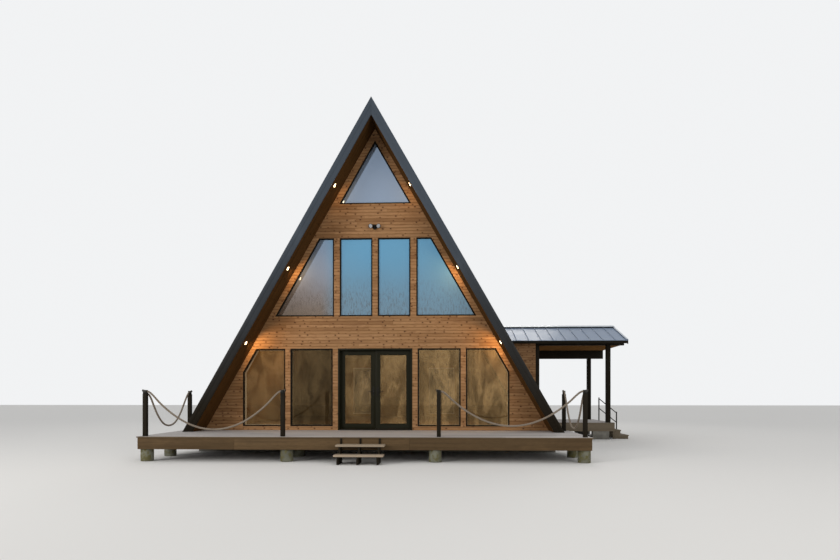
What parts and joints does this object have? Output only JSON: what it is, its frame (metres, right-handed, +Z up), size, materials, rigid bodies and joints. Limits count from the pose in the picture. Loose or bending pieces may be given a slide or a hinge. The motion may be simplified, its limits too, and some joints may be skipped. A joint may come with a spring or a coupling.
{
  "type": "a-frame cabin",
  "caption": "A-frame cabin with a glazed timber gable, french doors, front deck with rope rails and a covered side entry.",
  "frame": {"origin": "on the ground under the middle of the front foundation wall, on the cabin's centreline", "axes": "+Z up, +X to the right and +Y to the back as one faces the front gable"},
  "size_m": [12.902, 14.971, 8.7225],
  "materials": {
    "concrete": "rough cast concrete",
    "pier_concrete": "pale weathered concrete with moss",
    "floor_wood": "satin boards",
    "white_lining": "white painted boards",
    "roof_metal": "satin charcoal coating",
    "soffit_wood": "oiled boards",
    "cedar_siding": "oiled horizontal boards",
    "black_frame": "satin black",
    "window_glass": "clear sealed units",
    "door_paint": "satin dark green",
    "door_metal": "satin black",
    "lamp": "white enamel",
    "deck_boards": "grey composite boards",
    "deck_skirt": "brown composite face boards",
    "deck_timber": "treated timber",
    "step_boards": "grey composite boards",
    "dark_post": "black stained timber",
    "dark_metal": "black coating",
    "rope": "three-strand rope",
    "porch_roof": "satin grey coating",
    "porch_soffit": "oiled boards"
  },
  "bodies": {
    "cabin": {"back_wall": "cedar_siding", "barge_boards": "roof_metal", "deck_boards": "deck_boards", "deck_framing": "deck_timber", "deck_piers": "pier_concrete", "deck_posts": "dark_post", "deck_skirt": "deck_skirt", "door_frame": "door_paint", "door_hinges": "door_metal", "entry_door": "door_paint", "entry_wall_front": "cedar_siding", "entry_wall_outer": "cedar_siding", "entry_wall_rear": "cedar_siding", "foundation_walls": "concrete", "front_steps": "step_boards", "front_wall_left": "cedar_siding", "front_wall_right": "cedar_siding", "front_wall_upper": "cedar_siding", "ground_floor": "floor_wood", "loft_floor": "white_lining", "porch_beams": "dark_post", "porch_blocks": "concrete", "porch_ceiling": "porch_soffit", "porch_fascia": "dark_post", "porch_floor": "deck_boards", "porch_handrail": "dark_metal", "porch_posts": "dark_post", "porch_roof_deck": "porch_soffit", "porch_roof_metal": "porch_roof", "porch_steps": "step_boards", "rake_trims": "roof_metal", "ridge_cap": "roof_metal", "roof_left": "white_lining", "roof_metal_left": "roof_metal", "roof_metal_right": "roof_metal", "roof_right_front": "white_lining", "roof_right_over_entry": "white_lining", "roof_right_rear": "white_lining", "rope_brackets": "dark_metal", "rope_end_caps": "dark_metal", "rope_front_left": "rope", "rope_front_right": "rope", "rope_side_left": "rope", "rope_side_right": "rope", "soffit_boards": "soffit_wood", "soffit_lights": "lamp", "step_stringers": "deck_timber", "wall_floodlight": "lamp", "window_frames": "black_frame", "window_glass": "window_glass", "window_liners": "white_lining"},
    "door_left": {"door_leaf_left": "door_paint", "door_glass_left": "window_glass", "door_lever_left": "door_metal"},
    "door_right": {"door_leaf_right": "door_paint", "door_glass_right": "window_glass", "door_lever_right": "door_metal"}
  },
  "joints": [
    {"name": "door_left_hinge", "type": "hinge", "parent": "cabin", "child": "door_left", "pos_m": [-0.9175, 0.074, 0.55], "axis": [0, 0, 1], "range_deg": [0, 90]},
    {"name": "door_right_hinge", "type": "hinge", "parent": "cabin", "child": "door_right", "pos_m": [0.9175, 0.074, 0.55], "axis": [0, 0, -1], "range_deg": [0, 90]}
  ]
}
